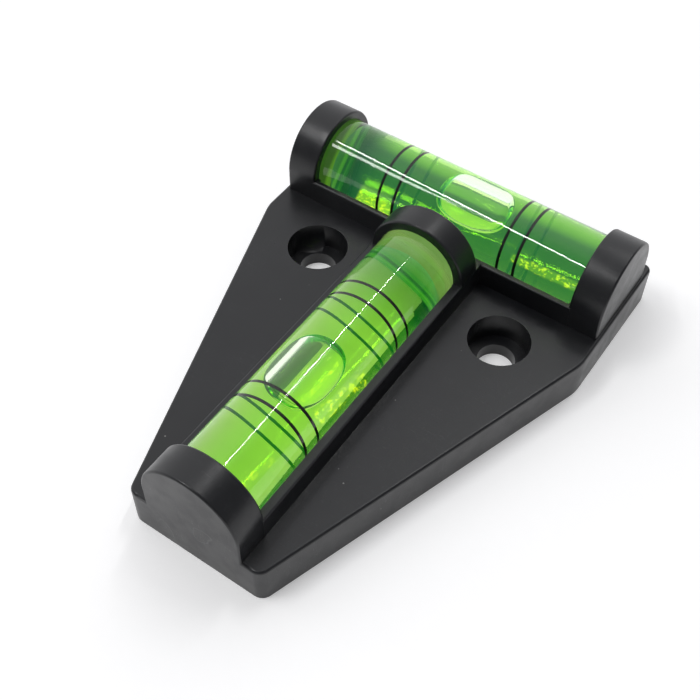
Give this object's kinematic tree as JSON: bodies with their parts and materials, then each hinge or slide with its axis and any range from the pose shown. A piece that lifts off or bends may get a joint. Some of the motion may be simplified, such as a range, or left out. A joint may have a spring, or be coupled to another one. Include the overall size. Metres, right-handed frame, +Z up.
{
  "type": "t-shaped bubble level",
  "caption": "T-shaped bubble level: a black screw-down housing holds green spirit vials at right angles, so it shows level along and across a surface.",
  "frame": {"origin": "middle of the overall box, on the flat base", "axes": "+Z up from the base, -Y along the stem towards its narrow front, +X to the right when the front faces the viewer"},
  "size_m": [0.0508, 0.0684, 0.0165],
  "materials": {
    "housing": "satin black moulded plastic",
    "barrel": "clear polished acrylic",
    "plug": "clear acrylic, olive against the liquid",
    "liquid": "yellow-green dyed liquid",
    "bubble": "air",
    "line": "black filled ring"
  },
  "bodies": {
    "level": {"housing": "housing", "front_vial_barrel": "barrel", "front_vial_plug": "plug", "front_vial_liquid": "liquid", "front_vial_line_1": "line", "front_vial_line_2": "line", "front_vial_line_3": "line", "front_vial_line_4": "line", "rear_vial_barrel": "barrel", "rear_vial_plug": "plug", "rear_vial_liquid": "liquid", "rear_vial_line_1": "line", "rear_vial_line_2": "line", "rear_vial_line_3": "line", "rear_vial_line_4": "line"},
    "front_bubble": {"front_vial_bubble": "bubble"},
    "rear_bubble": {"rear_vial_bubble": "bubble"}
  },
  "joints": [
    {"name": "front_bubble_travel", "type": "slide", "parent": "level", "child": "front_bubble", "axis": [0, 1, 0], "range_m": [-0.013, 0.0146]},
    {"name": "rear_bubble_travel", "type": "slide", "parent": "level", "child": "rear_bubble", "axis": [1, 0, 0], "range_m": [-0.0135, 0.0143]}
  ]
}
